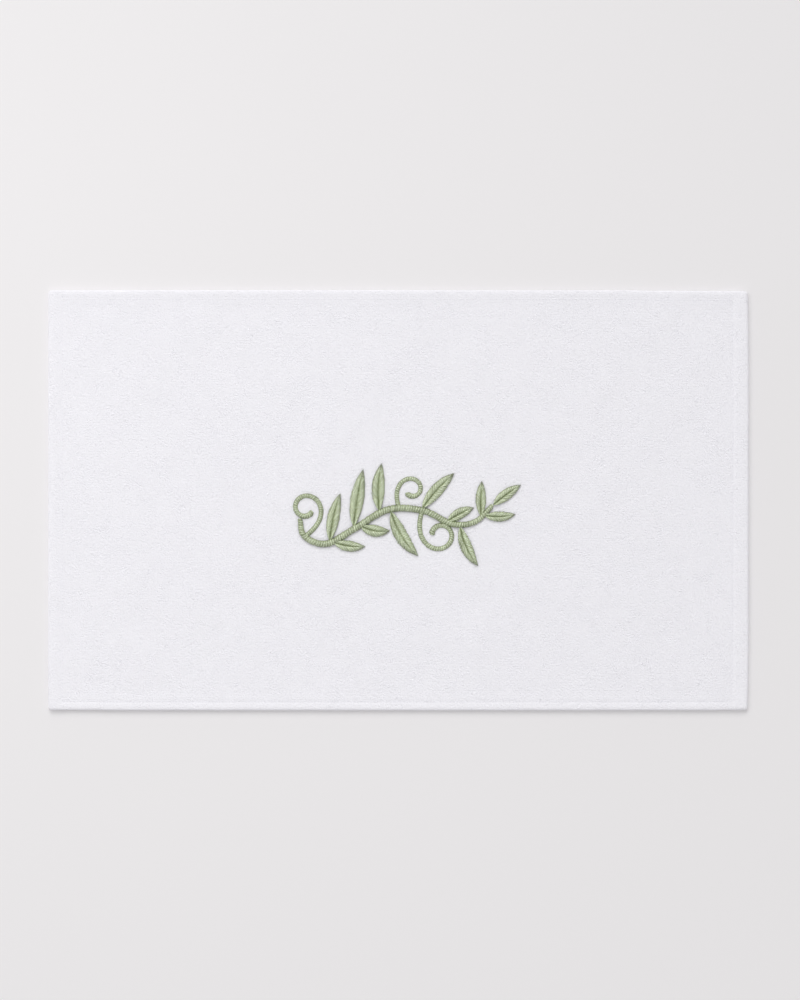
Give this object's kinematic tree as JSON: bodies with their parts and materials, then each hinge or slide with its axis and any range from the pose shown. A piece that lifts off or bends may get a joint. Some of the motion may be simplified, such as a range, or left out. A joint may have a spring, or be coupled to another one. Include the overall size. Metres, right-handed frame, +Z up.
{
  "type": "hand towel",
  "caption": "Rectangular white terry hand towel with narrow turned hems all round, laid out flat; a raised sage green leaf sprig is stitched on its middle.",
  "frame": {"origin": "under the middle of the towel, on the surface that it lies on", "axes": "+X along the length, +Y across the width towards the far long side, +Z up out of the face"},
  "size_m": [0.635, 0.381, 0.0054],
  "materials": {
    "white_terry": "soft matt cotton loop pile"
  },
  "bodies": {
    "root": {"towel_cloth": "white_terry"}
  },
  "joints": []
}
